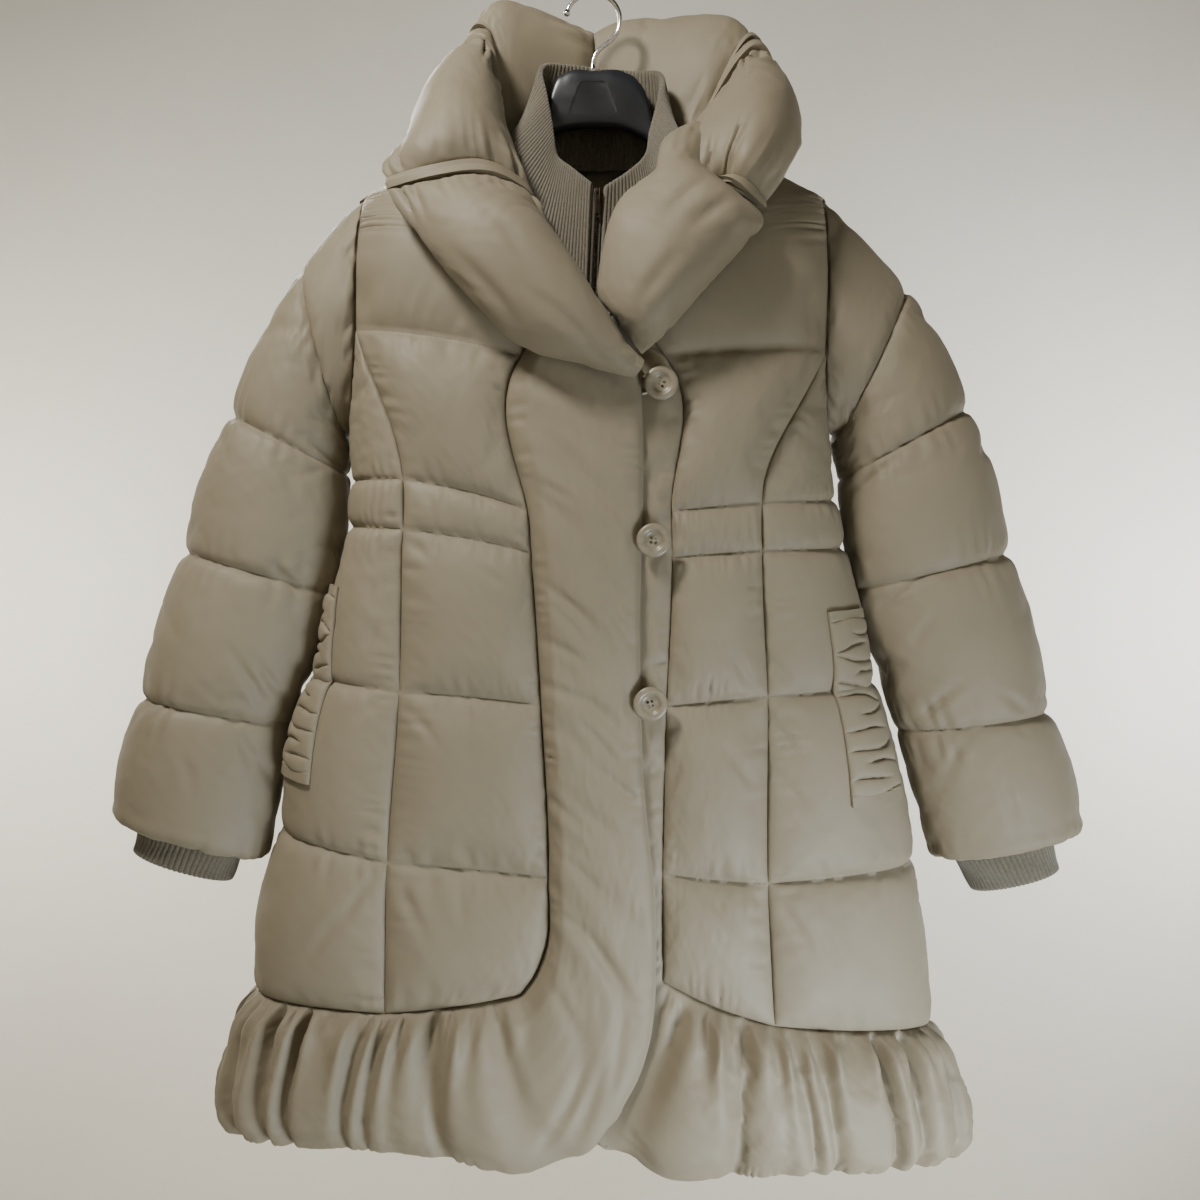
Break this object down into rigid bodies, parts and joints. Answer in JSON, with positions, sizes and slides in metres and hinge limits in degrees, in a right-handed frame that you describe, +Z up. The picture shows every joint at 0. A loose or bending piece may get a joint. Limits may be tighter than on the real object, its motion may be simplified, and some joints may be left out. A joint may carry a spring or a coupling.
{
  "type": "long puffer coat on a hanger",
  "caption": "Long quilted puffer coat with a puffed shawl collar, ribbed stand collar, gathered balloon hem, ruched pocket welts and rib cuffs, hung on a moulded hanger.",
  "frame": {"origin": "inside of the top of the hanger's hook, where a rail carries it", "axes": "+Z up; the coat faces -Y; the wearer's left is at +X"},
  "size_m": [0.8203, 0.2566, 1.0333],
  "materials": {
    "shell": "satin down-proof polyamide",
    "rib_knit": "matt rib knit",
    "hanger_plastic": "black moulded, half gloss",
    "chrome": "polished wire",
    "button": "glossy beige",
    "loop": "round elastic cord",
    "zip_metal": "dark bronze"
  },
  "bodies": {
    "coat": {"back": "shell", "button_1": "button", "button_2": "button", "button_3": "button", "collar_back_left": "shell", "collar_back_right": "shell", "collar_lapel_left": "shell", "collar_lapel_right": "shell", "collar_strap_back_left": "shell", "collar_strap_back_right": "shell", "collar_strap_front_left": "shell", "collar_strap_front_right": "shell", "collar_upper_left": "shell", "collar_upper_right": "shell", "cuff_left": "rib_knit", "cuff_right": "rib_knit", "front_band_left": "shell", "front_band_right": "shell", "front_centre_left": "shell", "front_centre_right": "shell", "front_side_left": "shell", "front_side_right": "shell", "hanger": "hanger_plastic", "hem_back": "shell", "hook": "chrome", "loop_1": "loop", "loop_2": "loop", "loop_3": "loop", "pocket_left": "shell", "pocket_right": "shell", "rib_collar": "rib_knit", "sleeve_left": "shell", "sleeve_right": "shell", "zip_chain": "zip_metal", "zip_slider": "zip_metal"},
    "zip_pull": {"zip_pull": "zip_metal"}
  },
  "joints": [
    {"name": "zip_pull_hinge", "type": "hinge", "parent": "coat", "child": "zip_pull", "pos_m": [0.00427, -0.091, -0.203], "axis": [-1, 0, 0], "range_deg": [0, 150]}
  ]
}
